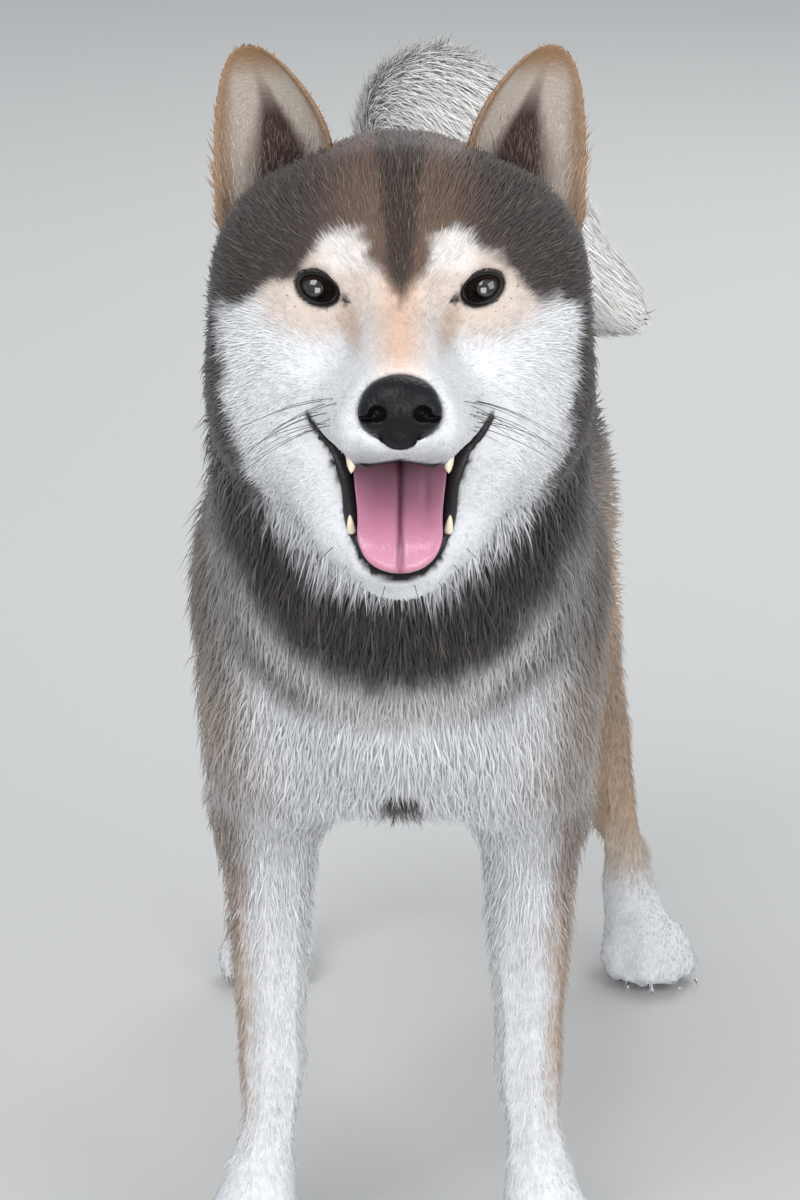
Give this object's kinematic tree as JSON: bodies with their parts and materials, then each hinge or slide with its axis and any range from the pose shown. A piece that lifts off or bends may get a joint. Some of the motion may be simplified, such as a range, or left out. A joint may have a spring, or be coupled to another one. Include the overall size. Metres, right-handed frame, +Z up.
{
  "type": "shiba inu",
  "caption": "Life-size still model of a standing dog with pricked ears, open mouth and a tail curled over its hip.",
  "frame": {"origin": "on the floor, at the middle of the box that holds the dog", "axes": "+Z up, -Y is the way the dog faces, +X is the dog's left"},
  "size_m": [0.2432, 0.6122, 0.5531],
  "materials": {
    "sesame_coat": "dense double coat, dark tips over paler undercoat",
    "cream_coat": "soft white to cream coat",
    "tan_coat": "short tan to grey coat",
    "eye": "wet, clear and dark",
    "nose_leather": "moist, finely pebbled",
    "tongue": "moist, fine bumps"
  },
  "bodies": {
    "root": {"head": "sesame_coat", "lower_jaw": "cream_coat", "neck": "sesame_coat", "torso": "sesame_coat", "ear_left": "tan_coat", "ear_right": "tan_coat", "eye_left": "eye", "eye_right": "eye", "nose": "nose_leather", "tongue": "tongue", "foreleg_left": "tan_coat", "foreleg_right": "tan_coat", "forepaw_left": "cream_coat", "forepaw_right": "cream_coat", "hindleg_left": "tan_coat", "hindleg_right": "tan_coat", "hindpaw_left": "cream_coat", "hindpaw_right": "cream_coat", "tail": "cream_coat"}
  },
  "joints": []
}
